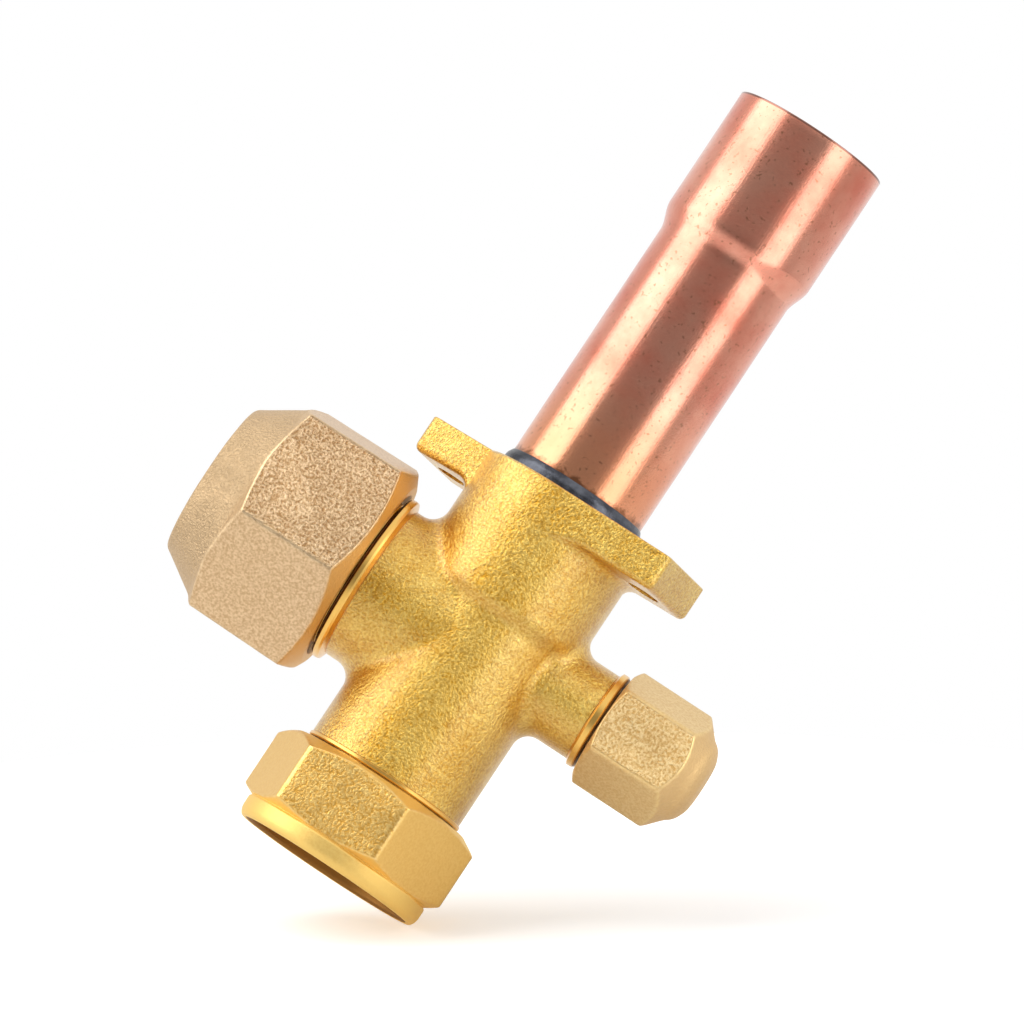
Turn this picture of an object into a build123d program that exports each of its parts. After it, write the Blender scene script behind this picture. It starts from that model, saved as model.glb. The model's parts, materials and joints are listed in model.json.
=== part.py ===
from build123d import *
import math
import os

# Refrigerant service valve: forged three-way body, brazed stub tube, coaxial stem
# under a hex cap, flare nut on one side and a charging port on the other.
# Millimetres. +Z is the stem axis towards the tube; the origin is the centre of the
# flange's mounting face. The flare port looks along -X, the charging port along +X.

# ---- driving dimensions ----
tube_od = 19.05            # 3/4 in copper tube
tube_wall = 1.07
socket_depth = 9.0         # how far the tube sits in the body
bell_bore = 19.2           # swaged end, slips over the same tube
bell_od = 21.0
bell_start = 34.9          # height of the swage's first bend
bell_full = 39.6
tube_top = 55.65

upper_d = 24.1             # barrel above the branches
lower_d = 22.0             # barrel below them
step_z = -17.2             # middle of the soft step between the two
shoulder_z = -42.5         # lower end of the barrel, above the cap
cap_neck_length = 7.6

ear_reach = 19.4           # flange centre to the flat end of an ear
ear_width = 14.0
ear_angle = -21.2          # ears, turned about Z from the branch axis
ear_thickness = 4.9
ear_cove = 1.5             # hollow corner under the ear, against the barrel
hole_circle = 31.2
hole_d = 4.5               # clears an M4 screw

flare_z = -22.2            # flare port axis
flare_neck_d = 21.2
flare_face = 17.0          # from the stem axis to the nut's mouth
flare_bore = 12.7
flare_root_d = 20.5        # 7/8-14 thread, root; the ridges are finish
flare_major_d = 22.2
nut_flats = 29.0
nut_length = 22.4
nut_draft = 0.7            # degrees, the forged flats narrow towards the nose
nut_bore = 16.2            # passes a 5/8 in tube

charge_z = -21.1           # charging port axis
charge_neck_d = 12.3
charge_face = 19.2         # from the stem axis to the cap's mouth
charge_nose = 29.8         # end of the charging nipple
charge_root_d = 9.7        # 7/16-20 thread
charge_major_d = 11.11
charge_cap_flats = 14.7
charge_cap_length = 14.7

cap_gap = 0.3              # between the shoulder and the cap's mouth
cap_depth = 8.3            # inside, down to the gasket's seat
cap_flats = 26.0
cap_root_d = 18.3          # M20x1.5 on the body's lower neck
cap_major_d = 20.0
cap_height = 12.9
cap_collar_d = 26.4

# Places along the stem are measured outwards from the shoulder, so inner ones are negative.
seat_at = -30.0            # shut-off seat between tube and chamber
passage_d = 11.8
chamber_d = 14.0
stem_thread_d = 15.0
stem_bore_d = 16.0         # smooth bore that the stem's rings run in
thread_from, thread_to = -14.2, -6.5
clip_at = 5.3              # circlip groove in the cap neck
stem_end = -0.4            # outer end of the stem when shut
key_flats = 8.0
running = 0.05             # radial clearance of a running fit

flare_port = Plane(origin=(0, 0, flare_z), x_dir=(0, 0, 1), z_dir=(-1, 0, 0))
charge_port = Plane(origin=(0, 0, charge_z), x_dir=(0, 0, 1), z_dir=(1, 0, 0))
stem_port = Plane(origin=(0, 0, shoulder_z), x_dir=(1, 0, 0), z_dir=(0, 0, -1))


def turned(*outline):
    """A solid of revolution about local Z from (radius, height) corners."""
    return revolve(Plane.XZ * make_face(Polyline(*outline, close=True)), Axis.Z)


def rod(radius, low, high):
    """A plain cylinder on local Z."""
    base = (Align.CENTER, Align.CENTER, Align.MIN)
    return Pos(0, 0, low) * Cylinder(radius, high - low, align=base)


def ring(outer, inner, low, high):
    return rod(outer, low, high) - rod(inner, low - 1, high + 1)


def hexagon(flats, length, turn, soft, draft=0):
    """A hex bar whose long edges are slightly rounded."""
    outline = RegularPolygon(flats / 2, 6, major_radius=False, rotation=turn)
    return extrude(fillet(outline.vertices(), soft), length, taper=draft)


# ---- forged body ----
def barrel():
    """Upright barrel, a little slimmer below a soft step."""
    upper, lower = upper_d / 2, lower_d / 2
    top, bottom = (upper, step_z + 1.4), (lower, step_z - 1.4)
    outline = Polyline((0, 0), (upper - 0.25, 0), (upper, -0.25), top)
    outline += Spline(top, bottom, tangents=((0, -1), (0, -1)))
    outline += Polyline(bottom, (lower, shoulder_z), (0, shoulder_z), (0, 0))
    return revolve(Plane.XZ * make_face(outline), Axis.Z)


def blend_roots(cross, side, radius):
    """Rounds the curved joint lines between the barrel and the neck on one side."""
    plain = (GeomType.CIRCLE, GeomType.LINE)
    joint_lines = [
        edge for edge in cross.edges()
        if edge.geom_type not in plain and edge.center().X * side > 0
    ]
    return fillet(joint_lines, radius)


def ear():
    """One ear: a bar with one side parallel to it and the other tangent to the barrel."""
    reach, half, radius = ear_reach, ear_width / 2, upper_d / 2 - 0.05
    under, low = -ear_thickness, -ear_thickness - ear_cove
    touch = math.atan2(half, reach) + math.acos(radius / math.hypot(reach, half))
    tangent = (radius * math.cos(touch), -radius * math.sin(touch))
    outline = Polyline((0, 0), tangent, (reach, -half), (reach, half), (0, half), close=True)
    bar = Pos(0, 0, low) * extrude(make_face(outline), -low)
    waste = CenterArc((radius + ear_cove, low), ear_cove, 90, 90)
    waste += Polyline((radius + ear_cove, under), (2 * reach, under), (2 * reach, low - 1),
                      (radius, low - 1), (radius, low))
    bar -= revolve(Plane.XZ * make_face(waste), Axis.Z)
    upright = bar.edges().filter_by(Axis.Z)
    bar = fillet([edge for edge in upright if edge.center().X > reach - 1], 1.0)
    underside = bar.faces().filter_by(Axis.Z).sort_by(Axis.Z)[1]
    bar = fillet(underside.edges().sort_by(SortBy.LENGTH)[:-1], 0.9)
    top = bar.faces().filter_by(Axis.Z).sort_by(Axis.Z)[-1]
    return fillet([edge for edge in top.edges() if edge.center().length > half], 0.25)


def neck_details():
    """Machined collars, thread necks and sealing noses on the three ports."""
    flare_root, charge_root = flare_root_d / 2, charge_root_d / 2
    collar = turned(
        (0, 12), (flare_neck_d / 2, 12), (flare_neck_d / 2, 15.2), (11.6, 15.6),
        (11.7, 15.9), (11.7, 16.4), (11.4, 16.7), (flare_root, 16.7),
        (flare_root, 27.0), (9.2, 27.6), (8.6, 27.6), (flare_bore / 2, 29.85), (0, 29.85),
    )
    nipple = turned(
        (0, 14), (charge_neck_d / 2, 14), (charge_neck_d / 2, 17.6), (6.75, 17.9),
        (6.75, 18.6), (6.5, 18.9), (charge_root, 18.9), (charge_root, 28.0),
        (4.4, 28.35), (3.4, charge_nose), (0, charge_nose),
    )
    end = cap_neck_length
    cap_neck = turned(
        (0, -3), (lower_d / 2, -3), (lower_d / 2, -0.6), (11.2, -0.5), (11.2, -0.15),
        (11.05, 0), (cap_root_d / 2, 0), (cap_root_d / 2, end - 0.6), (8.7, end), (0, end),
    )
    return flare_port * collar + charge_port * nipple + stem_port * cap_neck


def passages():
    """Tube socket, seat, chamber, stem bores and the two branch bores."""
    socket, passage, chamber = tube_od / 2 + 0.07, passage_d / 2, chamber_d / 2
    thread, bore = stem_thread_d / 2, stem_bore_d / 2
    tube_side = turned(
        (0, 1), (socket + 0.62, 1), (socket + 0.62, 0), (socket, -0.6), (socket, -socket_depth),
        (8.45, -socket_depth), (passage, -socket_depth - 2.5), (passage, -16), (0, -16),
    )
    stem_side = turned(
        (0, seat_at), (passage, seat_at), (chamber, seat_at + chamber - passage),
        (chamber, thread_from - 0.5), (thread, thread_from), (thread, thread_to),
        (bore, thread_to + 0.5), (bore, clip_at - 0.05), (8.6, clip_at - 0.05),
        (8.6, clip_at + 1.05), (bore, clip_at + 1.05), (bore, 7.2), (bore + 0.6, 9), (0, 9),
    )
    flare = flare_port * rod(flare_bore / 2, 0, 31)
    charge = charge_port * turned(
        (0, 0), (2.1, 0), (2.1, 21.6), (2.7, 22.5), (2.7, 29.2), (3.0, 29.6), (3.0, 31), (0, 31)
    )
    return tube_side + stem_port * stem_side + flare + charge


def valve_body():
    cross = barrel()
    cross += flare_port * rod(flare_neck_d / 2, 0, flare_face - 1.8)
    cross += charge_port * rod(charge_neck_d / 2, 0, charge_face - 1.6)
    cross = blend_roots(cross, -1, 2.4)
    cross = blend_roots(cross, 1, 2.2)
    ears = [Rot(0, 0, ear_angle + turn) * ear() for turn in (0, 180)]
    holes = [
        Rot(0, 0, ear_angle) * Pos(side * hole_circle / 2, 0, 0) * rod(hole_d / 2, -12, 2)
        for side in (-1, 1)
    ]
    return cross + ears + neck_details() - passages() - holes


# ---- brazed tube ----
def stub_tube():
    """Copper stub whose far end is swaged to slip over a tube of its own size."""
    outer, bell = tube_od / 2, bell_od / 2
    inner, bell_in = outer - tube_wall, bell_bore / 2
    low, foot, full = -socket_depth, bell_start, bell_full
    outline = Polyline((inner, low), (outer, low), (outer, foot))
    outline += Spline((outer, foot), (bell, full), tangents=((0, 1), (0, 1)))
    outline += Polyline(
        (bell, full), (bell, tube_top - 0.15), (bell - 0.15, tube_top),
        (bell_in + 0.15, tube_top), (bell_in, tube_top - 0.15), (bell_in, full + 0.2),
    )
    outline += Spline((bell_in, full + 0.2), (inner, foot + 0.4), tangents=((0, -1), (0, -1)))
    outline += Line((inner, foot + 0.4), (inner, low))
    return revolve(Plane.XZ * make_face(outline), Axis.Z)


def braze_ring():
    """Fillet of braze metal round the foot of the tube."""
    outer = tube_od / 2
    outline = Polyline((outer, 1.45), (outer, 0), (10.15, 0), (10.1, 0.25))
    outline += ThreePointArc((10.1, 0.25), (9.86, 1.02), (outer, 1.45))
    return revolve(Plane.XZ * make_face(outline), Axis.Z)


# ---- stem ----
def stem():
    """Nose, waist, thread, ring land and a hex socket in the outer end."""
    thread, land, end = stem_thread_d / 2 - running, stem_bore_d / 2 - 0.07, stem_end
    blank = turned(
        (0, seat_at - 0.8), (3.2, seat_at - 0.8), (3.6, seat_at - 0.4), (3.6, seat_at + 2.2),
        (6.6, seat_at + 2.2), (6.6, seat_at + 3), (4.6, seat_at + 5), (4.6, -14.6),
        (6.6, -13.7), (thread, -13), (thread, -7.6), (6.6, -6.8), (6.6, -5.9), (land, -5.7),
        (land, -4.9), (6.5, -4.9), (6.5, -3.3), (land, -3.3), (land, -2.7), (6.5, -2.7),
        (6.5, -1.1), (land, -1.1), (land, end - 0.3), (land - 0.3, end), (0, end),
    )
    socket = Pos(0, 0, end - 5) * hexagon(key_flats, 6, 30, 0.3)
    lead_in = Pos(0, 0, end - 0.5) * Cone(4.0, 5.0, 1.0)
    return stem_port * (blank - socket - lead_in)


def stem_seat_seal():
    """Plastic ring on the stem's nose whose cone shuts the seat."""
    passage = passage_d / 2
    return stem_port * turned(
        (3.6, seat_at - 0.4), (passage - 0.45, seat_at - 0.4), (passage + 0.4, seat_at + 0.45),
        (6.75, seat_at + 0.85), (6.75, seat_at + 2.2), (3.6, seat_at + 2.2),
    )


def o_ring(centre):
    return Pos(0, 0, centre) * Torus(7.24, 0.7)


def stem_orings():
    return stem_port * Compound(children=[o_ring(-4.1), o_ring(-1.9)])


def stem_retaining_ring():
    """Internal circlip that stops the stem from backing right out."""
    clip = ring(8.55, 7.35, clip_at, clip_at + 1)
    for side in (-1, 1):
        lug = Rot(0, 0, side * 17) * Pos(0, -6.75, 0)
        clip += lug * rod(1.15, clip_at, clip_at + 1)
        clip -= lug * rod(0.55, clip_at - 1, clip_at + 2)
    return stem_port * (clip - Pos(0, -7.5, clip_at) * Box(1.6, 5, 3))


# ---- stem cap ----
def stem_cap():
    """Blind hex cap with a turned collar and a dished end."""
    face, corner = 12.3, cap_flats / math.sqrt(3) + 0.1
    collar, height = cap_collar_d / 2, cap_height
    envelope = turned(
        (0, 0), (face, 0), (corner, 1.6), (corner, 9.0), (collar + 0.1, 9.9), (0, 9.9)
    )
    cap = hexagon(cap_flats, 10.0, 8, 0.45) & envelope
    cap += turned((0, 9.6), (12.9, 9.6), (12.9, 10.0), (collar, 10.3), (collar, height - 0.5),
                  (collar - 0.4, height), (0, height))
    dish = turned((0, 14), (12.1, 14), (11.9, height - 0.2), (11.6, 10.3), (10.8, 9.9), (0, 9.7))
    thread = cap_major_d / 2 + running
    cavity = turned((0, -1), (thread + 0.6, -1), (thread + 0.6, 0), (thread, 0.6),
                    (thread, cap_depth), (0, cap_depth))
    return stem_port * Pos(0, 0, cap_gap) * (cap - dish - cavity)


def stem_cap_gasket():
    """Flat ring that the cap presses on the neck's end."""
    return stem_port * ring(9.9, 7.0, cap_neck_length, cap_gap + cap_depth)


# ---- flare nut ----
def flare_nut():
    """Long forged nut: hex with steep shoulders, then a tapered nose."""
    corner, length = nut_flats / math.sqrt(3) + 0.1, nut_length
    envelope = turned(
        (0, 0), (13.1, 0), (corner, 1.95), (corner, 15.1), (14.3, 16.4), (13.8, 16.95),
        (10.9, length - 0.9), (10.5, length - 0.25), (10.15, length), (0, length),
    )
    thread, bore = flare_major_d / 2 + running, nut_bore / 2
    cavity = turned(
        (0, -1), (thread + 0.8, -1), (thread + 0.8, 0), (thread, 0.8), (thread, 10.0),
        (10.15, 10.2), (8.5, 11.85), (bore, 13.9), (bore, length - 0.6), (bore + 0.5, length),
        (bore + 0.5, length + 1), (0, length + 1),
    )
    nut = (hexagon(nut_flats, length, 21, 0.5, nut_draft) & envelope) - cavity
    return flare_port * Pos(0, 0, flare_face) * nut


def flare_blank():
    """Pressed copper cup that closes the flare port under the nut."""
    return flare_port * turned(
        (0, 29.9), (6.3, 29.9), (8.55, 27.65), (9.12, 28.22), (6.8, 30.54), (6.5, 30.7), (0, 30.7)
    )


# ---- charging port ----
def charge_cap():
    """Small hex cap with a domed end."""
    corner, length = charge_cap_flats / math.sqrt(3) + 0.1, charge_cap_length
    outline = Polyline(
        (0, 0), (7.2, 0), (corner, 0.75), (corner, 10.6), (7.35, 11.6), (5.9, 12.9)
    )
    outline += ThreePointArc((5.9, 12.9), (4.9, 14.0), (3.4, length))
    outline += Polyline((3.4, length), (0, length), (0, 0))
    envelope = revolve(Plane.XZ * make_face(outline), Axis.Z)
    thread = charge_major_d / 2 + running
    cavity = turned(
        (0, -1), (thread + 0.5, -1), (thread + 0.5, 0), (thread, 0.5), (thread, 9.4),
        (5.1, 9.9), (5.1, 12.1), (0, 12.1),
    )
    cap = (hexagon(charge_cap_flats, length, -3.5, 0.9) & envelope) - cavity
    return charge_port * Pos(0, 0, charge_face) * cap


def charge_cap_seal():
    """Rubber disc that the cap presses on the nipple's nose."""
    return charge_port * ring(4.9, 1.3, charge_nose, charge_face + 12.1)


def core_plug():
    """Threaded head of the valve core, with two flats and a guide hole for the pin."""
    head = turned((0, 24.2), (2.64, 24.2), (2.64, 27.0), (2.3, 27.4), (2.3, 28.6), (0, 28.6))
    flats = Pos(0, 0, 28.1) * (Box(6, 6, 1.8) - Box(6, 2.9, 1.8))
    return charge_port * (head - flats - rod(0.62, 24, 27) - rod(0.95, 26.4, 29))


def core_barrel():
    """Sleeve that houses the core's spring and carries its lower seat."""
    return charge_port * turned(
        (0.9, 17.5), (1.6, 17.5), (1.95, 17.9), (1.95, 24.2), (1.45, 24.2), (1.45, 18.4),
        (0.9, 18.4),
    )


def core_gasket():
    """Tapered plastic ring that seals the core in its bore."""
    return charge_port * turned((1.95, 21.65), (2.08, 21.65), (2.6, 22.45), (2.6, 23.4), (1.95, 23.4))


def core_pin():
    """Pin with a head to press, a collar for the spring and a riveted tail."""
    return charge_port * turned(
        (0, 15.3), (0.7, 15.3), (0.7, 15.6), (0.55, 15.6), (0.55, 23.3), (1.2, 23.3), (1.2, 23.8),
        (0.55, 23.8), (0.55, 28.5), (0.8, 28.7), (0.8, 29.1), (0.6, 29.3), (0, 29.3),
    )


def core_cup():
    """Brass cup on the pin's tail that holds the seat rubber."""
    return charge_port * turned(
        (0.55, 15.6), (1.6, 15.6), (1.6, 17.2), (1.4, 17.2), (1.4, 16.3), (0.55, 16.3)
    )


def core_seat():
    """Rubber washer in the cup, shut against the sleeve."""
    return charge_port * ring(1.4, 0.55, 16.3, 17.5)


def core_spring():
    """Coil round the pin, between the sleeve's floor and the pin's collar."""
    wire, radius, low, high = 0.17, 0.98, 18.4, 23.3
    path = Pos(0, 0, low + wire) * Helix((high - low - 2 * wire) / 6, high - low - 2 * wire, radius)
    start = Plane(origin=path @ 0, z_dir=path % 0)
    return charge_port * sweep(start * Circle(wire), path=path, is_frenet=True)


nodes = [
    valve_body, stub_tube, braze_ring,
    stem, stem_seat_seal, stem_orings, stem_retaining_ring, stem_cap, stem_cap_gasket,
    flare_nut, flare_blank,
    charge_cap, charge_cap_seal, core_plug, core_barrel, core_gasket, core_pin, core_cup,
    core_seat, core_spring,
]
os.makedirs("parts", exist_ok=True)
for node in nodes:
    export_step(node(), f"parts/{node.__name__}.step")
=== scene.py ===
import json
import math

import bmesh
import bpy
from mathutils import Matrix, Vector


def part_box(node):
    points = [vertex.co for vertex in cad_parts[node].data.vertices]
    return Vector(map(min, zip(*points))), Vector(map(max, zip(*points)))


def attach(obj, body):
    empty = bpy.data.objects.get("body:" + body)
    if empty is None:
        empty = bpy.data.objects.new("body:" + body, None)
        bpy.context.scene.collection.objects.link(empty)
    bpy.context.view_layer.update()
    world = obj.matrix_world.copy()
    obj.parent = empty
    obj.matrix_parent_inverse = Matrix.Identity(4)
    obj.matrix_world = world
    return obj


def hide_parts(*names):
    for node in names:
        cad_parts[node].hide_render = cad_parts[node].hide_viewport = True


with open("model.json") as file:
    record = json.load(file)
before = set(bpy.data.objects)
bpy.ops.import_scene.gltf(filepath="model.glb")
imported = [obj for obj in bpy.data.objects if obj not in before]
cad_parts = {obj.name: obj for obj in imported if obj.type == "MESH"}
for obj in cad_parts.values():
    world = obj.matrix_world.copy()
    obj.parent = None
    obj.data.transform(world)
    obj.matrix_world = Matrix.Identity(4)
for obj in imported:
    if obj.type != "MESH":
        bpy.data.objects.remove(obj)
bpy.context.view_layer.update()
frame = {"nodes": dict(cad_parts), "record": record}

nodes = frame["nodes"]
scene = bpy.context.scene
mm = 0.001  # sizes below are in millimetres times this


def log(text):
    print("valve:", text)


# camera
viewing = {
    "azimuth": 5.0,          # degrees round the stem, 0 looks along +Y
    "elevation": -5.0,
    "lean": 33.6,            # the valve leans this far to the right
    "distance": 1400 * mm,
    "lens": 390.0, "sensor": 36.0,
    "clip": (0.05, 20.0),
    "aimAlong": -4.98 * mm,  # aim point, along the stem and across it
    "aimAcross": -5.34 * mm,
}


def viewAxes(azimuth, elevation, lean):
    back = Vector((math.sin(azimuth) * math.cos(elevation),
                   -math.cos(azimuth) * math.cos(elevation), math.sin(elevation)))
    along = (Vector((0, 0, 1)) - back * back.z).normalized()
    across = along.cross(back)
    right = math.sin(lean) * along + math.cos(lean) * across
    up = math.cos(lean) * along - math.sin(lean) * across
    return back, along, across, right, up


back, along, across, right, up = viewAxes(
    *(math.radians(viewing[key]) for key in ("azimuth", "elevation", "lean")))


def placed(obj, x, y, z, spot):
    obj.matrix_world = Matrix.Translation(spot) @ Matrix((x, y, z)).transposed().to_4x4()
    scene.collection.objects.link(obj)


camera = bpy.data.objects.new("camera", bpy.data.cameras.new("camera"))
camera.data.lens, camera.data.sensor_width = viewing["lens"], viewing["sensor"]
camera.data.clip_start, camera.data.clip_end = viewing["clip"]
aim = along * viewing["aimAlong"] + across * viewing["aimAcross"]
placed(camera, right, up, back, aim + back * viewing["distance"])
scene.camera = camera
scene.view_settings.view_transform = "Standard"

# short ways to add nodes, to a finish or to a Geometry Nodes tree


def put(tree, kind, inputs=None, **settings):
    node = tree.nodes.new(kind)
    for key, value in settings.items():
        setattr(node, key, value)
    for key, value in (inputs or {}).items():
        if isinstance(value, bpy.types.NodeSocket):
            tree.links.new(value, node.inputs[key])
        else:
            node.inputs[key].default_value = value
    return node


def calc(tree, operation, *values):
    return put(tree, "ShaderNodeMath", dict(enumerate(values)), operation=operation).outputs[0]


def vectorCalc(tree, operation, *values):
    node = put(tree, "ShaderNodeVectorMath", dict(enumerate(values)), operation=operation)
    return node.outputs["Value" if operation == "DOT_PRODUCT" else "Vector"]


def separated(tree, vector):
    return put(tree, "ShaderNodeSeparateXYZ", {0: vector}).outputs


def mapped(tree, value, low, high, toLow=0.0, toHigh=1.0, smooth=False):
    limits = {"From Min": low, "From Max": high, "To Min": toLow, "To Max": toHigh}
    return put(tree, "ShaderNodeMapRange", {"Value": value, **limits},
               interpolation_type="SMOOTHSTEP" if smooth else "LINEAR").outputs[0]


def between(tree, share, low, high):
    return mapped(tree, share, 0.0, 1.0, low, high)


def noise(tree, vector, scale, detail=3.0, roughness=0.6, distortion=0.0):
    return put(tree, "ShaderNodeTexNoise", {
        "Vector": vector, "Scale": scale, "Detail": detail, "Roughness": roughness,
        "Distortion": distortion}).outputs["Fac"]


def mixedColour(tree, factor, first, second):
    return put(tree, "ShaderNodeMix", {0: factor, 6: first, 7: second}, data_type="RGBA").outputs[2]


def mixedValue(tree, factor, first, second):
    return put(tree, "ShaderNodeMix", {0: factor, 2: first, 3: second}).outputs[0]


def newFinish(name):
    finish = bpy.data.materials.new(name)
    finish.use_nodes = True
    finish.node_tree.nodes.clear()
    return finish, finish.node_tree


# room, floor and lamps
studio = {
    "lampDistance": 900 * mm, "lampHeight": 1500 * mm, "lampRaised": 250 * mm,
    "lamps": {               # swing in degrees round the stem from the viewer, + to the right
        "leftStrip": {"swing": -75.0, "spread": 50.0, "radiance": 2.15},
        "rightStrip": {"swing": 47.0, "spread": 32.0, "radiance": 1.95},
    },
    "roomLevels": [(0.0, 0.92), (0.42, 0.66), (0.62, 0.5), (0.8, 0.3), (1.0, 0.26)],  # behind to front
    "ends": 0.95, "endsFrom": 0.22, "endsFull": 0.52,   # the room is bright beyond both ends of the stem
    "ambient": 0.55,
    "floorRadius": 130 * mm, "floorSides": 96,
    "floorGap": 0.02 * mm,   # clear of the lowest point of the valve
    "floorTilt": 9.0,        # degrees that the view looks down on the floor
    "floorPaint": (0.92, 0.92, 0.92, 1),
    "floorFill": 0.36,       # lifts the floor to white in the picture only
}


def addStripLamp(name, values):
    swing, spread = math.radians(values["swing"]), math.radians(values["spread"])
    y = Vector((0, 0, 1))
    toward = math.cos(swing) * across.cross(y) + math.sin(swing) * across
    lamp = bpy.data.lights.new(name, "AREA")
    lamp.shape = "RECTANGLE"
    lamp.size = 2 * studio["lampDistance"] * math.tan(spread / 2)
    lamp.size_y = studio["lampHeight"]
    lamp.energy = values["radiance"] * math.pi * lamp.size * lamp.size_y
    obj = bpy.data.objects.new(name, lamp)
    obj.visible_camera = False
    placed(obj, y.cross(toward), y, toward, toward * studio["lampDistance"] + y * studio["lampRaised"])


def makeRoom():
    world = bpy.data.worlds.new("studio")
    scene.world = world
    world.use_nodes = True
    tree = world.node_tree
    tree.nodes.clear()
    direction = put(tree, "ShaderNodeTexCoord").outputs["Generated"]
    facing = vectorCalc(tree, "DOT_PRODUCT", direction, tuple(back))
    ramp = put(tree, "ShaderNodeValToRGB", {0: mapped(tree, facing, -1.0, 1.0)})
    ramp.color_ramp.interpolation = "EASE"
    while len(ramp.color_ramp.elements) < len(studio["roomLevels"]):
        ramp.color_ramp.elements.new(0.5)
    for element, (spot, level) in zip(ramp.color_ramp.elements, studio["roomLevels"]):
        element.position, element.color = spot, (level, level, level, 1)
    rays = put(tree, "ShaderNodeLightPath").outputs
    endwise = calc(tree, "ABSOLUTE", vectorCalc(tree, "DOT_PRODUCT", direction, tuple(along)))
    endwise = mapped(tree, endwise, studio["endsFrom"], studio["endsFull"], smooth=True)
    glossy = mixedValue(tree, endwise, ramp.outputs["Color"], studio["ends"])
    level = mixedValue(tree, rays["Is Glossy Ray"], studio["ambient"], glossy)
    shown = calc(tree, "MAXIMUM", rays["Is Camera Ray"], rays["Is Transmission Ray"])
    level = mixedValue(tree, shown, level, 1.0)
    light = put(tree, "ShaderNodeBackground", {"Color": (1, 1, 1, 1), "Strength": level})
    put(tree, "ShaderNodeOutputWorld", {"Surface": light.outputs[0]})


def makeFloorFinish():
    finish, tree = newFinish("floorWhite")
    onCamera = put(tree, "ShaderNodeLightPath").outputs["Is Camera Ray"]
    paint = put(tree, "ShaderNodeBsdfDiffuse", {"Color": studio["floorPaint"]}).outputs[0]
    lift = put(tree, "ShaderNodeEmission", {
        "Strength": calc(tree, "MULTIPLY", onCamera, studio["floorFill"])}).outputs[0]
    seen = put(tree, "ShaderNodeAddShader", {0: paint, 1: lift}).outputs[0]
    clear = put(tree, "ShaderNodeBsdfTransparent").outputs[0]
    below = put(tree, "ShaderNodeNewGeometry").outputs["Backfacing"]
    surface = put(tree, "ShaderNodeMixShader", {
        0: calc(tree, "MULTIPLY", onCamera, below), 1: seen, 2: clear}).outputs[0]
    put(tree, "ShaderNodeOutputMaterial", {"Surface": surface})
    return finish


def makeFloor():
    tilt = math.radians(studio["floorTilt"])
    above = math.cos(tilt) * up + math.sin(tilt) * back
    lowest = min(above.dot(v.co) for obj in nodes.values() for v in obj.data.vertices)
    bm = bmesh.new()
    bmesh.ops.create_circle(bm, cap_ends=True, segments=studio["floorSides"], radius=studio["floorRadius"])
    mesh = bpy.data.meshes.new("floor")
    bm.to_mesh(mesh)
    bm.free()
    floor = bpy.data.objects.new("floor", mesh)
    placed(floor, right, above.cross(right), above, above * (lowest - studio["floorGap"]))
    mesh.materials.append(makeFloorFinish())


makeRoom()
makeFloor()
for name, values in studio["lamps"].items():
    addStripLamp(name, values)
log("camera, room, floor and lamps are set")

# finishes


def closeFinish(tree, colour, roughness, height, depth, metallic=1.0, coat=()):
    bump = put(tree, "ShaderNodeBump", {"Height": height, "Distance": depth, "Strength": 1.0})
    shader = put(tree, "ShaderNodeBsdfPrincipled", {
        "Base Color": colour, "Roughness": roughness, "Metallic": metallic, "Normal": bump.outputs[0],
        **dict(zip(("Coat Weight", "Coat Roughness", "Coat IOR"), coat))})
    put(tree, "ShaderNodeOutputMaterial", {"Surface": shader.outputs[0]})


def objectSpot(tree):
    return put(tree, "ShaderNodeTexCoord").outputs["Object"]


def grainHeight(tree, spot, size, distortion):
    # the wrinkles of a blasted surface, from 0 in the pits to 1 on the crests
    return mapped(tree, noise(tree, spot, 1 / size, 3.0, 0.55, distortion), 0.22, 0.78)


forgedBrass = {
    "crest": (0.94, 0.66, 0.16, 1), "pit": (0.58, 0.27, 0.003, 1), "polished": (0.95, 0.56, 0.11, 1),
    "paintedGapShade": (0.20, 0.09, 0.02, 1),     # painted shade on the step just under a nut or a cap
    "grain": 0.33 * mm, "distortion": 0.3, "tint": (0.12, 0.9),
    "wrinkles": 1.2 * mm, "wrinkleShare": 1.2, "depth": 0.11 * mm,
    "patchScale": 160.0, "patchTint": 0.24,
    "roughness": 0.3, "polish": 0.3, "coat": (0.8, 0.3, 1.6),     # weight, roughness, IOR
    "flareCut": -15.15 * mm, "chargeCut": 17.55 * mm, "capCut": -41.9 * mm,  # where turning begins
    "cutEdge": 0.05 * mm, "turnedGrain": 0.03,
    # where the painted shade on the step under the flare nut and the charge cap begins
    "flareGap": -16.48 * mm, "chargeGap": 18.74 * mm, "earsAbove": -8 * mm,
}


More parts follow.
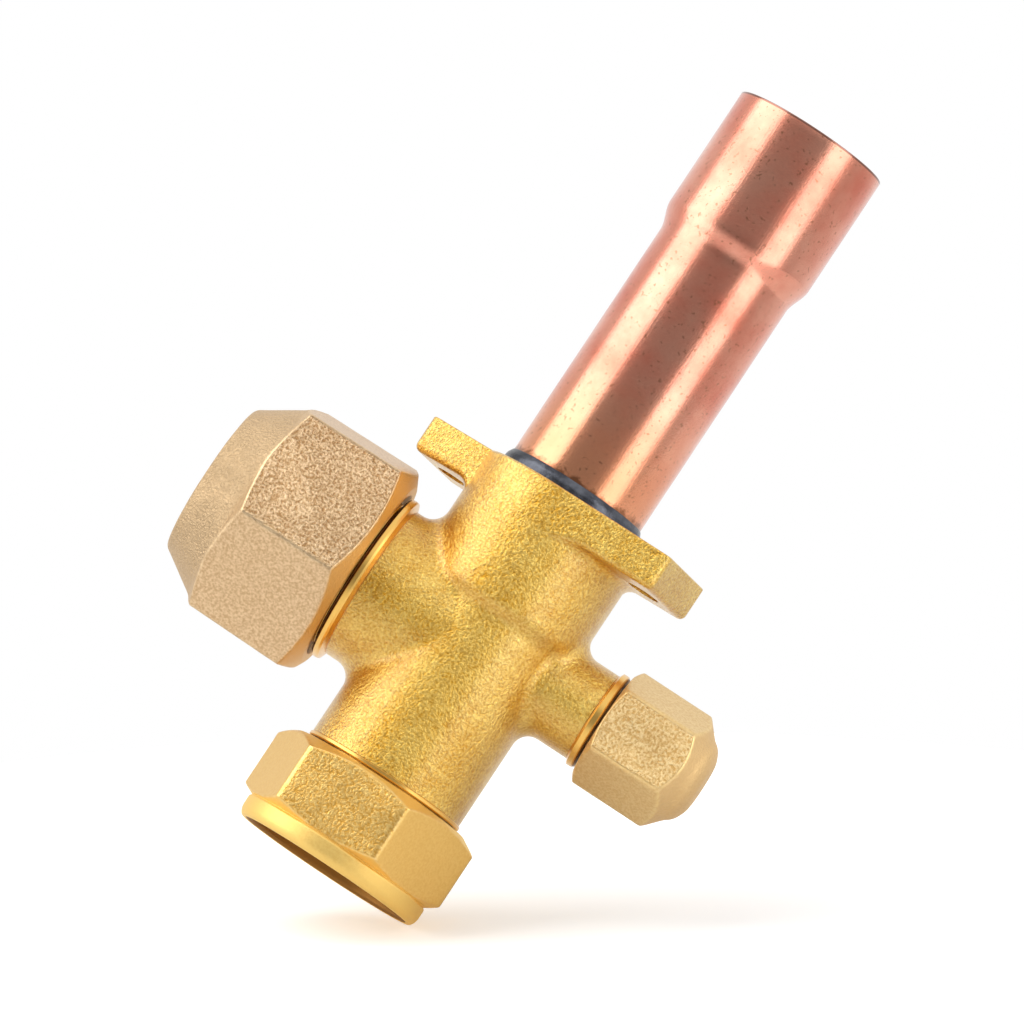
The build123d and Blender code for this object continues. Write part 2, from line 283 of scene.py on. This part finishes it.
def makeForgedBrass(values):
    finish, tree = newFinish("forgedBrass")
    spot = objectSpot(tree)
    x, _, z = separated(tree, spot)
    flare, charge, cap, edge = (values[key] for key in ("flareCut", "chargeCut", "capCut", "cutEdge"))
    belowEars = calc(tree, "LESS_THAN", z, values["earsAbove"])
    turned = calc(tree, "MAXIMUM", mapped(tree, x, flare + edge, flare - edge),
                  mapped(tree, x, charge - edge, charge + edge))
    turned = calc(tree, "MULTIPLY", turned, belowEars)
    turned = calc(tree, "MAXIMUM", turned, mapped(tree, z, cap + edge, cap - edge))
    # painted shade: the necks just under the flare nut and the charge cap are coloured dark
    paintedGapShade = calc(tree, "MAXIMUM", calc(tree, "LESS_THAN", x, values["flareGap"]),
               calc(tree, "GREATER_THAN", x, values["chargeGap"]))
    paintedGapShade = calc(tree, "MULTIPLY", paintedGapShade, belowEars)

    grain = grainHeight(tree, spot, values["grain"], values["distortion"])
    wrinkles = noise(tree, spot, 1 / values["wrinkles"], 2.0, 0.5, 0.5)
    height = calc(tree, "ADD", grain, calc(tree, "MULTIPLY", wrinkles, values["wrinkleShare"]))
    height = calc(tree, "MULTIPLY", height, between(tree, turned, 1.0, values["turnedGrain"]))
    patches = mapped(tree, noise(tree, spot, values["patchScale"]), 0.3, 0.7,
                     -values["patchTint"], values["patchTint"])
    tint = calc(tree, "ADD", mapped(tree, grain, 0.2, 0.8, *values["tint"]), patches)
    colour = mixedColour(tree, tint, values["pit"], values["crest"])
    colour = mixedColour(tree, turned, colour, values["polished"])
    colour = mixedColour(tree, paintedGapShade, colour, values["paintedGapShade"])
    roughness = mixedValue(tree, turned, values["roughness"], values["polish"])
    closeFinish(tree, colour, roughness, height, values["depth"], coat=values["coat"])
    return finish


# the nut's and the caps' flats: coarse where they face the way of coarseToward, plain elsewhere
flareNutBrass = {
    "crest": (0.90, 0.66, 0.40, 1), "pit": (0.46, 0.26, 0.11, 1), "worn": (0.93, 0.70, 0.42, 1),
    "turned": (0.56, 0.40, 0.23, 1), "polished": (0.84, 0.54, 0.22, 1),
    "turnedShare": 0.75, "wornShare": 0.7, "plainTint": 0.66,
    "grain": 0.34 * mm, "distortion": 0.2, "depth": 0.08 * mm,
    "chipScale": 900.0, "patchScale": 110.0, "patchStrength": (0.5, 1.2),
    "roughness": 0.34, "turnedRoughness": 0.46, "metallic": 1.0,
    "coarseToward": (0.0, -0.93, 0.36), "coarseSpan": (0.9, 0.98),
    "coarseGrain": 5.0, "plainGrain": 0.7, "turnedGrain": 3.0, "polishedGrain": 0.25,
    "coarseContrast": 1.0, "plainContrast": 0.5,
    "polishFrom": -19.0 * mm,     # the mouth's chamfer is polished, from here to the mouth
    # colour of the painted shade inside a dished end, where there is one
    "recess": 0.0, "recessBelow": -1.0, "paintedRecessShade": (0.3, 0.14, 0.03, 1),
}
capBrass = {
    **flareNutBrass,
    "crest": (0.97, 0.66, 0.22, 1), "pit": (0.76, 0.40, 0.07, 1), "worn": (0.96, 0.70, 0.30, 1),
    "turned": (0.96, 0.67, 0.20, 1),
    "depth": 0.055 * mm, "turnedRoughness": 0.5, "metallic": 0.85,
    "coarseToward": (0.0, -1.0, 0.0), "coarseGrain": 1.7, "plainGrain": 0.35, "turnedGrain": 0.2,
    "plainContrast": 0.25,
    "polishFrom": 1.0,            # beyond both caps, so neither has a polished part
    "recess": 12.05 * mm, "recessBelow": -52.9 * mm,     # the dish in the stem cap's end, coloured dark as painted shade
}
chargeCapBrass = {
    **capBrass,
    "crest": (0.97, 0.74, 0.38, 1), "pit": (0.68, 0.40, 0.13, 1), "turned": (0.78, 0.52, 0.24, 1),
    "metallic": 0.8, "coarseGrain": 5.5, "plainGrain": 0.6, "turnedGrain": 1.8,
    "plainContrast": 0.35,
    "recess": 0.0,
}


def makeNutBrass(name, values):
    finish, tree = newFinish(name)
    spot = objectSpot(tree)
    x, y, z = separated(tree, spot)
    wear, turned = (put(tree, "ShaderNodeAttribute", attribute_name=mark).outputs["Fac"]
                    for mark in ("wear", "turned"))
    chips = mapped(tree, noise(tree, spot, values["chipScale"], 2.0), 0.35, 0.6)
    wear = calc(tree, "MULTIPLY", wear, chips)
    polished = calc(tree, "MULTIPLY", turned, calc(tree, "GREATER_THAN", x, values["polishFrom"]))
    normal = put(tree, "ShaderNodeTexCoord").outputs["Normal"]
    coarse = vectorCalc(tree, "DOT_PRODUCT", normal, values["coarseToward"])
    coarse = mapped(tree, coarse, *values["coarseSpan"])
    fromStem = calc(tree, "SQRT", calc(tree, "ADD", calc(tree, "MULTIPLY", x, x),
                                       calc(tree, "MULTIPLY", y, y)))
    # painted shade: inside the dish in the stem cap's end the colour is darkened
    recess = calc(tree, "MULTIPLY", calc(tree, "LESS_THAN", fromStem, values["recess"]),
                  calc(tree, "LESS_THAN", z, values["recessBelow"]))

    grain = grainHeight(tree, spot, values["grain"], values["distortion"])
    patches = mapped(tree, noise(tree, spot, values["patchScale"]), 0.35, 0.65, *values["patchStrength"])
    strength = between(tree, coarse, values["plainGrain"], values["coarseGrain"])
    strength = between(tree, turned, strength, values["turnedGrain"])
    strength = calc(tree, "MULTIPLY", patches, strength)
    strength = calc(tree, "MULTIPLY", strength, between(tree, polished, 1.0, values["polishedGrain"]))
    contrast = between(tree, coarse, values["plainContrast"], values["coarseContrast"])
    tint = mixedValue(tree, contrast, values["plainTint"], mapped(tree, grain, 0.28, 0.72))
    colour = mixedColour(tree, tint, values["pit"], values["crest"])
    for factor, shown in (
            (calc(tree, "MULTIPLY", turned, values["turnedShare"]), "turned"),
            (calc(tree, "MULTIPLY", wear, values["wornShare"]), "worn"),
            (polished, "polished"), (recess, "paintedRecessShade")):
        colour = mixedColour(tree, factor, colour, values[shown])
    roughness = mixedValue(tree, turned, values["roughness"], values["turnedRoughness"])
    height = calc(tree, "MULTIPLY", grain, strength)
    closeFinish(tree, colour, roughness, height, values["depth"], values["metallic"])
    return finish


copper = {
    "clean": (0.92, 0.41, 0.28, 1), "tarnished": (0.76, 0.21, 0.13, 1), "cloudScale": 110.0,
    "heated": (0.89, 0.38, 0.18, 1), "heatShare": 0.8, "heatReach": 20 * mm,
    "stained": (0.36, 0.13, 0.05, 1), "stainFrom": 1.9 * mm, "stainFull": 1.3 * mm,
    "stainReach": 1.0 * mm, "stainScale": 700.0,
    "dotScale": 1900.0, "dotShare": 0.6,
    "rimColour": (0.30, 0.13, 0.09, 1), "rimFrom": 55.35 * mm,
    "streakScale": 2600.0, "streakStretch": (1.0, 1.0, 0.05),     # drawing marks run along the tube
    "speckScale": 3200.0, "speckShare": 0.8, "scratchDepth": 0.012 * mm,
    "roughness": (0.2, 0.27), "coat": (0.6, 0.18),     # weight, roughness
}


def makeCopper(values):
    finish, tree = newFinish("copper")
    spot = objectSpot(tree)
    z = separated(tree, spot)[2]
    drawn = vectorCalc(tree, "MULTIPLY", spot, values["streakStretch"])
    specks = calc(tree, "MULTIPLY", noise(tree, spot, values["speckScale"], 2.0), values["speckShare"])
    height = calc(tree, "ADD", noise(tree, drawn, values["streakScale"]), specks)
    clouds = noise(tree, spot, values["cloudScale"], 4.0)
    colour = mixedColour(tree, mapped(tree, clouds, 0.36, 0.72), values["clean"], values["tarnished"])
    heat = mapped(tree, z, 0.0, values["heatReach"], values["heatShare"], 0.0, smooth=True)
    colour = mixedColour(tree, heat, colour, values["heated"])
    ragged = noise(tree, spot, values["stainScale"], 4.0, 0.7)
    ragged = mapped(tree, ragged, 0.3, 0.7, 0.0, values["stainReach"])
    stained = mapped(tree, calc(tree, "SUBTRACT", z, ragged), values["stainFrom"], values["stainFull"])
    colour = mixedColour(tree, stained, colour, values["stained"])
    rim = calc(tree, "GREATER_THAN", z, values["rimFrom"])
    colour = mixedColour(tree, rim, colour, values["rimColour"])
    dots = noise(tree, spot, values["dotScale"], 2.0, 0.5)
    dots = mapped(tree, dots, 0.63, 0.7, 0.0, values["dotShare"])
    colour = mixedColour(tree, dots, colour, values["stained"])
    roughness = mapped(tree, clouds, 0.35, 0.65, *values["roughness"])
    closeFinish(tree, colour, roughness, height, values["scratchDepth"], coat=values["coat"])
    return finish


brazeMetal = {
    "dark": (0.05, 0.052, 0.062, 1), "light": (0.14, 0.147, 0.17, 1), "cloudScale": 350.0,
    "roughness": 0.27, "grainScale": 2500.0, "depth": 0.04 * mm,
}


def makeBrazeMetal(values):
    finish, tree = newFinish("brazeMetal")
    spot = objectSpot(tree)
    clouds = mapped(tree, noise(tree, spot, values["cloudScale"]), 0.4, 0.7)
    colour = mixedColour(tree, clouds, values["dark"], values["light"])
    grain = noise(tree, spot, values["grainScale"])
    closeFinish(tree, colour, values["roughness"], grain, values["depth"])
    return finish


plainFinishes = {   # colour, roughness, metallic, grain size, bump depth
    "turnedBrass": ((0.80, 0.50, 0.13), 0.24, 1.0, 0.25 * mm, 0.004 * mm),
    "springSteel": ((0.56, 0.56, 0.58), 0.28, 1.0, 0.2 * mm, 0.004 * mm),
    "sealRubber": ((0.02, 0.02, 0.022), 0.6, 0.0, 0.15 * mm, 0.01 * mm),
    "sealPlastic": ((0.78, 0.77, 0.72), 0.45, 0.0, 0.3 * mm, 0.006 * mm),
}
plainClouds = {"scale": 300.0, "darker": 0.8, "roughness": 0.05}


def makePlainFinish(name, colour, roughness, metallic, grainSize, depth):
    finish, tree = newFinish(name)
    spot = objectSpot(tree)
    clouds = noise(tree, spot, plainClouds["scale"], 2.0, 0.5)
    darker = (plainClouds["darker"] * part for part in colour)
    shade = mixedColour(tree, mapped(tree, clouds, 0.35, 0.65), (*darker, 1), (*colour, 1))
    spread = plainClouds["roughness"]
    rough = mapped(tree, clouds, 0.3, 0.7, roughness - spread, roughness + spread)
    closeFinish(tree, shade, rough, noise(tree, spot, 1 / grainSize), depth, metallic)
    return finish


finishes = {
    "forged_brass": makeForgedBrass(forgedBrass),
    "nut_brass": makeNutBrass("flareNutBrass", flareNutBrass),
    "cap_brass": makeNutBrass("capBrass", capBrass),
    "charge_cap_brass": makeNutBrass("chargeCapBrass", chargeCapBrass),
    "copper": makeCopper(copper), "braze_metal": makeBrazeMetal(brazeMetal),
}
for slot, name in (("stem_brass", "turnedBrass"), ("spring_steel", "springSteel"),
                   ("seal_rubber", "sealRubber"), ("seal_plastic", "sealPlastic")):
    finishes[slot] = makePlainFinish(name, *plainFinishes[name])

slotOf = {part["node"]: part["material_slot"] for part in frame["record"]["subparts"]}
for name, obj in nodes.items():
    obj.data.materials.clear()
    obj.data.materials.append(finishes[slotOf[name]])
log("finishes are on the carried-over nodes")

# outlines of turned shapes
easing = {"steps": 4, "reach": 0.45}     # steps round a corner, and its largest share of a run
tiny = 1e-6                              # allows for rounding


def outlineFrom(corners, step):
    # corners are (radius, station, softness) in mm, and may add the step for the run after them
    eased = []
    for i, (radius, station, soft, *own) in enumerate(corners):
        here, run = Vector((radius, station)), own[0] if own else step
        if soft <= 0 or radius < tiny:
            eased.append((here, run))
            continue
        before, after = (Vector(corners[(i + d) % len(corners)][:2]) - here for d in (-1, 1))
        start = here + before.normalized() * min(soft, before.length * easing["reach"])
        end = here + after.normalized() * min(soft, after.length * easing["reach"])
        for t in (k / easing["steps"] for k in range(easing["steps"] + 1)):
            eased.append((start * (1 - t) ** 2 + here * 2 * t * (1 - t) + end * t ** 2, run))
    if corners[0][0] > 0:
        eased.append(eased[0])  # a ring closes on itself, a solid ends on the axis
    points = [eased[0][0]]
    for (a, run), (b, _) in zip(eased, eased[1:]):
        count = max(1, math.ceil((b - a).length / run - tiny))
        points += [a.lerp(b, (k + 1) / count) for k in range(count)]
    mesh = bpy.data.meshes.new("outline")
    mesh.from_pydata([(p.x * mm, 0, p.y * mm) for p in points],
                     [(i, i + 1) for i in range(len(points) - 1)], [])
    return mesh


# one Geometry Nodes tree for every turned, hexed or threaded shape
turnedInputs = {
    "Segments": 240,
    "Turn": 0.0,                      # the first hex corner, in radians
    "Apothem": 1.0, "Draft": 0.0,     # half the width across flats, and how fast it narrows
    "Flats From": 1.0, "Flats To": 1.0,
    "Corner Softness": 0.4 * mm, "Edge Softness": 0.45 * mm,
    "Wear Width": 0.35 * mm, "Turned Edge": 0.3 * mm,
    "Pitch": 1.0 * mm, "Thread Depth": 0.0, "Thread Radius": 1.0, "Thread Window": 0.1 * mm,
    "Thread From": 0.0, "Thread To": 0.0, "Run In": 0.01 * mm, "Run Out": 0.01 * mm,
    "Ridge Foot": 0.44, "Ridge Top": 0.06,     # in pitches from the crest, where the flanks end
    "Ripple": 0.0, "Ripple Size": 3.0 * mm, "Seed": 0.0,
    "Merge Distance": 0.001 * mm,
}


def makeTurnedTree():
    tree = bpy.data.node_groups.new("turnedPiece", "GeometryNodeTree")
    tree.interface.new_socket("Geometry", in_out="OUTPUT", socket_type="NodeSocketGeometry")
    tree.interface.new_socket("Outline", in_out="INPUT", socket_type="NodeSocketGeometry")
    for name, value in turnedInputs.items():
        kind = "NodeSocketInt" if isinstance(value, int) else "NodeSocketFloat"
        tree.interface.new_socket(name, in_out="INPUT", socket_type=kind).default_value = value
    tree.interface.new_socket("Material", in_out="INPUT", socket_type="NodeSocketMaterial")
    given = put(tree, "NodeGroupInput").outputs

    def less(first, second):
        return calc(tree, "SUBTRACT", first, second)

    def times(first, second):
        return calc(tree, "MULTIPLY", first, second)

    def inside(value, low, high):
        return times(calc(tree, "GREATER_THAN", value, low), calc(tree, "LESS_THAN", value, high))

    # every column of the grid is one copy of the outline, turned by its share of a circle
    count = put(tree, "GeometryNodeAttributeDomainSize", {0: given["Outline"]}).outputs["Point Count"]
    shape = put(tree, "GeometryNodeMeshGrid", {
        "Vertices X": calc(tree, "ADD", given["Segments"], 1.0), "Vertices Y": count}).outputs["Mesh"]
    index = put(tree, "GeometryNodeInputIndex").outputs[0]
    column = calc(tree, "FLOOR", calc(tree, "DIVIDE", calc(tree, "ADD", index, 0.5), count))
    row = less(index, times(column, count))
    share = calc(tree, "DIVIDE", column, given["Segments"])
    spot = put(tree, "GeometryNodeSampleIndex", {
        "Geometry": given["Outline"], "Value": put(tree, "GeometryNodeInputPosition").outputs[0],
        "Index": row}, data_type="FLOAT_VECTOR").outputs[0]
    radius, _, station = separated(tree, spot)

    # distances to the two nearest flats, with the angle folded into one sixth of a turn
    sixth = math.tau / 6
    fold = calc(tree, "FRACT", times(share, 6.0))
    fold = times(calc(tree, "ABSOLUTE", less(fold, 0.5)), sixth)
    narrowed = times(less(station, given["Flats From"]), given["Draft"])
    apothem = less(given["Apothem"], narrowed)
    near = calc(tree, "DIVIDE", apothem, calc(tree, "COSINE", fold))
    far = calc(tree, "DIVIDE", apothem, calc(tree, "COSINE", less(sixth, fold)))
    flat = calc(tree, "SMOOTH_MIN", near, far, given["Corner Softness"])
    hexed = calc(tree, "SMOOTH_MIN", radius, flat, given["Edge Softness"])
    onFlats = inside(station, given["Flats From"], given["Flats To"])
    hexed = mixedValue(tree, onFlats, radius, hexed)

    # wear lies where two flats meet and where a flat meets the turned outline
    beyond = less(flat, radius)
    corner = calc(tree, "ADD", less(far, near), times(calc(tree, "MAXIMUM", beyond, 0.0), 4.0))
    worn = calc(tree, "MINIMUM", corner, calc(tree, "ABSOLUTE", beyond))
    wear = times(mapped(tree, worn, 0.0, given["Wear Width"], 1.0, 0.0, smooth=True), onFlats)
    turned = mixedValue(tree, onFlats, 1.0, mapped(tree, beyond, 0.0, given["Turned Edge"]))

    # a right-handed ridge that runs out at both ends
    turn = calc(tree, "ADD", times(share, math.tau), given["Turn"])
    phase = less(calc(tree, "DIVIDE", station, given["Pitch"]), calc(tree, "DIVIDE", turn, math.tau))
    fromCrest = calc(tree, "ABSOLUTE", less(calc(tree, "FRACT", phase), 0.5))
    ridge = mapped(tree, fromCrest, given["Ridge Foot"], given["Ridge Top"])
    begun = mapped(tree, less(station, given["Thread From"]), 0.0, given["Run In"])
    left = mapped(tree, less(given["Thread To"], station), 0.0, given["Run Out"])
    rise = times(times(ridge, times(begun, left)), given["Thread Depth"])
    onThread = times(calc(tree, "COMPARE", radius, given["Thread Radius"], given["Thread Window"]),
                     inside(station, given["Thread From"], given["Thread To"]))
    threaded = calc(tree, "MAXIMUM", hexed, calc(tree, "ADD", given["Thread Radius"], rise))
    finalRadius = mixedValue(tree, onThread, hexed, threaded)

    place = put(tree, "ShaderNodeCombineXYZ", {
        "X": times(finalRadius, calc(tree, "COSINE", turn)),
        "Y": times(finalRadius, calc(tree, "SINE", turn)), "Z": station}).outputs[0]
    for mark, value in (("wear", wear), ("turned", turned)):
        shape = put(tree, "GeometryNodeStoreNamedAttribute",
                    {"Geometry": shape, "Name": mark, "Value": value},
                    data_type="FLOAT", domain="POINT").outputs[0]
    shape = put(tree, "GeometryNodeSetPosition", {"Geometry": shape, "Position": place}).outputs[0]
    shape = put(tree, "GeometryNodeMergeByDistance", {
        "Geometry": shape, "Distance": given["Merge Distance"]}).outputs[0]

    # slight unevenness, so that no face is perfectly flat
    where = vectorCalc(tree, "ADD", put(tree, "GeometryNodeInputPosition").outputs[0],
                       put(tree, "ShaderNodeCombineXYZ", {"X": given["Seed"]}).outputs[0])
    waves = noise(tree, where, calc(tree, "DIVIDE", 1.0, given["Ripple Size"]), 2.0, 0.5)
    offset = put(tree, "ShaderNodeVectorMath", {
        0: put(tree, "GeometryNodeInputNormal").outputs[0],
        "Scale": times(less(waves, 0.5), given["Ripple"])}, operation="SCALE").outputs[0]
    shape = put(tree, "GeometryNodeSetPosition", {"Geometry": shape, "Offset": offset}).outputs[0]
    shape = put(tree, "GeometryNodeRealizeInstances", {"Geometry": shape}).outputs[0]
    shape = put(tree, "GeometryNodeSetMaterial", {
        "Geometry": shape, "Material": given["Material"]}).outputs[0]
    put(tree, "NodeGroupOutput", {0: shape})
    return tree


turnedTree = makeTurnedTree()


def portAt(origin, x, z):
    x, z = Vector(x), Vector(z)
    return Matrix.Translation(origin) @ Matrix((x, z.cross(x), z)).transposed().to_4x4()


def middle(node):
    low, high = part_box(node)
    return (low + high) / 2


# stations are measured from the stem axis on the two side ports, and from the shoulder on the stem
capGap = 0.3     # mm, from the shoulder to the stem cap
flarePort = portAt((0, 0, middle("flare_blank").z), (0, 0, 1), (-1, 0, 0))
chargePort = portAt((0, 0, middle("charge_cap_seal").z), (0, 0, 1), (1, 0, 0))
stemPort = portAt((0, 0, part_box("stem_cap")[1].z + capGap * mm), (1, 0, 0), (0, 0, -1))
tubePort = portAt((0, 0, 0), (1, 0, 0), (0, 0, 1))


def turnedPiece(name, port, corners, step, finish, body, slot, replaced=None, **inputs):
    piece = bpy.data.objects.new(name, outlineFrom(corners, step))
    scene.collection.objects.link(piece)
    shape = piece.modifiers.new("shape", "NODES")
    shape.node_group = turnedTree
    values = {key.replace("_", " "): value for key, value in inputs.items()}
    values["Material"] = finishes[finish]
    for item in turnedTree.interface.items_tree:
        if item.in_out == "INPUT" and item.name in values:
            shape[item.identifier] = values.pop(item.name)
    if values:
        raise ValueError(f"no such inputs: {sorted(values)}")
    mesh = bpy.data.meshes.new_from_object(piece.evaluated_get(bpy.context.evaluated_depsgraph_get()))
    piece.modifiers.clear()
    piece.data = mesh
    mesh.transform(port)
    bm = bmesh.new()
    bm.from_mesh(mesh)
    if bm.calc_volume(signed=True) < 0:
        bmesh.ops.reverse_faces(bm, faces=bm.faces)
    bm.to_mesh(mesh)
    bm.free()
    mesh.shade_smooth()
    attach(piece, body)
    if replaced:
        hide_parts(replaced)
    log(f"{name}: {len(mesh.polygons)} faces")


def rippled(values):
    return {"Ripple": values["ripple"], "Ripple_Size": values["rippleSize"]}


def hexed(values, start):
    return {"Turn": math.radians(values["turn"]), "Apothem": values["flats"] / 2 * mm,
            "Flats_From": start * mm, "Flats_To": (start + values["flatsLength"]) * mm,
            **rippled(values)}


def threadFrom(values, start, end):
    return {"Pitch": values["pitch"] * mm, "Thread_Depth": values["depth"] * mm,
            "Thread_Radius": values["root"] * mm, "Thread_Window": values["window"] * mm,
            "Thread_From": start * mm, "Thread_To": end * mm}


def hexCorner(values):
    return values["flats"] / math.sqrt(3) + 0.1     # just beyond the corners that the flats leave


def shifted(corners, start):
    return [(radius, start + station, *rest) for radius, station, *rest in corners]


# copper stub with a swaged end
tube = {
    "outer": 9.525, "inner": 8.455, "bell": 10.49, "bellInner": 9.6,
    "low": -8.98, "bellFrom": 34.9, "bellFull": 39.6, "innerLag": 0.3, "top": 55.64,
    "rim": 0.12, "foot": 0.1, "step": 1.0, "segments": 180, "swagePoints": 15,
    "ripple": 0.03 * mm, "rippleSize": 9.0 * mm,
}


def makeStubTube(values):
    outer, inner, bell, bellInner, low, start, full, top, rim, foot = (values[key] for key in (
        "outer", "inner", "bell", "bellInner", "low", "bellFrom", "bellFull", "top", "rim", "foot"))
    last = values["swagePoints"] - 1
    swage = [(0.1 + 0.8 * t, t * t * (3 - 2 * t)) for t in (k / last for k in range(last + 1))]

    def swaged(narrow, wide, begin):
        return [(narrow + (wide - narrow) * s, begin + (full - start) * t, 0) for t, s in swage]

    corners = [(outer, low, foot), *swaged(outer, bell, start), (bell, top, rim), (bellInner, top, rim),
               *reversed(swaged(inner, bellInner, start + values["innerLag"])), (inner, low, foot)]
    turnedPiece("stubTube", tubePort, corners, values["step"], "copper", "valve", "copper", "stub_tube",
                Segments=values["segments"], **rippled(values))


makeStubTube(tube)

braze = {
    "inner": 9.53, "outer": 10.12, "foot": 0.02, "height": 1.75, "step": 0.1, "segments": 360,
    "ripple": 0.12 * mm, "rippleSize": 2.2 * mm,
}


def makeBrazeRing(values):
    inner, outer, foot, height = (values[key] for key in ("inner", "outer", "foot", "height"))
    corners = [(inner, foot, 0), (outer, foot, 0.05), (outer - 0.05, 0.55 * height, 0.3),
               (inner + 0.12, height, 0.12), (inner, height, 0)]
    turnedPiece("brazeRing", tubePort, corners, values["step"], "braze_metal", "valve", "braze_metal",
                "braze_ring", Segments=values["segments"], **rippled(values))


makeBrazeRing(braze)

# long flare nut with a forged hex and a tapered nose, threaded to suit the neck
flareNut = {
    "face": 17.0, "length": 22.37, "flats": 28.98, "flatsLength": 17.5, "turn": 21.0, "draft": 0.7,
    "step": 0.36, "ripple": 0.07 * mm, "rippleSize": 3.4 * mm,
    "pitch": 25.4 / 14, "root": 10.35, "depth": 0.75, "window": 0.9, "threadLength": 9.95,
}


def makeFlareNut(values):
    face, length, root = (values[key] for key in ("face", "length", "root"))
    corner = hexCorner(values)
    outside = [
        (11.95, 0, 0.1), (13.1, 0, 0.12), (corner, 1.95, 0.2), (corner, 15.1, 0.3), (14.3, 16.4, 0.5),
        (13.8, 16.95, 0.4), (10.9, length - 0.9, 0.5), (10.5, length - 0.25, 0.2), (10.15, length, 0.15),
        (8.6, length, 0.15)]
    inside = [
        (8.1, length - 0.6, 0.2, 1.0), (8.1, 13.9, 0.3, 0.6), (8.5, 11.85, 0.2, 0.3),
        (10.15, 10.2, 0.05, 0.3), (11.15, 10.0, 0, 0.3), (root, 9.9, 0, 0.18), (root, 1.0, 0, 0.18),
        (11.15, 0.8, 0, 0.2)]
    turnedPiece("flareNut", flarePort, shifted(outside + inside, face), values["step"],
                "nut_brass", "flare_nut", "nut_brass", "flare_nut",
                Draft=math.tan(math.radians(values["draft"])), **hexed(values, face),
                **threadFrom(values, face, face + values["threadLength"]))


makeFlareNut(flareNut)

# blind hex cap over the stem, with a turned collar and a dished end
stemCap = {
    "height": 12.87, "flats": 25.98, "flatsLength": 9.86, "turn": 8.0, "collar": 13.18,
    "step": 0.34, "ripple": 0.035 * mm, "rippleSize": 4.0 * mm, "seed": 0.3,
    "pitch": 1.5, "root": 9.25, "depth": 0.8, "window": 0.82, "threadLength": 8.1,
}


def makeStemCap(values):
    height, collar, root = (values[key] for key in ("height", "collar", "root"))
    corner = hexCorner(values)
    corners = [
        (0, 8.3, 0), (9.3, 8.3, 0.1, 0.4), (10.05, 8.25, 0, 0.2), (root, 7.6, 0, 0.16),
        (root, 0.8, 0, 0.16), (10.05, 0.6, 0, 0.2), (10.65, 0, 0.1), (12.3, 0, 0.12),
        (corner, 1.6, 0.2), (corner, 9.0, 0.2), (13.2, 9.85, 0.12), (12.9, 10.02, 0.1),
        (collar, 10.3, 0.15), (collar, height - 0.85, 0.6), (collar - 0.5, height, 0.35),
        (12.1, height, 0.15), (11.75, height - 0.4, 0.2), (11.55, 10.3, 0.3), (10.8, 9.9, 0.4),
        (0, 9.7, 0)]
    turnedPiece("stemCap", stemPort, shifted(corners, capGap), values["step"],
                "cap_brass", "stem_cap", "nut_brass", "stem_cap",
                Seed=values["seed"], **hexed(values, capGap),
                **threadFrom(values, capGap - 1, capGap + values["threadLength"]))


makeStemCap(stemCap)

# small hex cap with a domed end, over the charging nipple
chargeCap = {
    "face": 19.2, "length": 14.68, "flats": 14.68, "flatsLength": 12.0, "turn": -3.5,
    "softness": 0.9 * mm, "step": 0.28, "segments": 192,
    "ripple": 0.03 * mm, "rippleSize": 2.4 * mm, "seed": 0.7,
    "pitch": 1.27, "root": 4.95, "depth": 0.6, "window": 0.62, "threadLength": 9.3,
}


def makeChargeCap(values):
    face, length, root = (values[key] for key in ("face", "length", "root"))
    corner = hexCorner(values)
    corners = [
        (0, 12.1, 0), (5.1, 12.1, 0.1, 0.5), (5.1, 9.9, 0, 0.3), (5.55, 9.4, 0, 0.2),
        (root, 9.2, 0, 0.14), (root, 0.6, 0, 0.14), (5.6, 0.5, 0, 0.2), (6.05, 0, 0.1),
        (7.2, 0, 0.12), (corner, 0.75, 0.2), (corner, 10.6, 0.3), (7.35, 11.6, 0.5),
        (5.9, 12.9, 0.4), (5.5, 13.5, 0.5), (4.9, 14.0, 0.5), (3.4, length, 0.9), (0, length, 0)]
    turnedPiece("chargeCap", chargePort, shifted(corners, face), values["step"],
                "charge_cap_brass", "charge_cap", "nut_brass", "charge_cap",
                Segments=values["segments"], Corner_Softness=values["softness"], Seed=values["seed"],
                **hexed(values, face), **threadFrom(values, face - 1, face + values["threadLength"]))


makeChargeCap(chargeCap)

# thread ridges round the three necks, in the ports' own stations
threads = {                # root, depth, pitch, from, to, inside radius
    "flareThread": (flarePort, 10.25, 0.74, 25.4 / 14, 16.9, 26.9, 9.0),
    "chargeThread": (chargePort, 4.85, 0.6, 1.27, 19.0, 27.9, 3.7),
    "capThread": (stemPort, 9.15, 0.8, 1.5, 0.1, 6.9, 8.75),
}
threadMesh = {"segments": 144, "rowsInPitch": 9, "endStep": 0.3, "innerStep": 1.0, "window": 0.05}


def makeThread(name, port, root, depth, pitch, start, end, inside):
    corners = [(inside, start, 0), (root, start, 0, pitch / threadMesh["rowsInPitch"]),
               (root, end, 0), (inside, end, 0, threadMesh["innerStep"])]
    shape = {"root": root, "depth": depth, "pitch": pitch, "window": threadMesh["window"]}
    turnedPiece(name, port, corners, threadMesh["endStep"], "stem_brass", "valve", "stem_brass",
                Segments=threadMesh["segments"], Run_In=pitch * mm, Run_Out=pitch * mm,
                **threadFrom(shape, start, end))


for name, values in threads.items():
    makeThread(name, *values)
log("turned pieces and threads are in place")
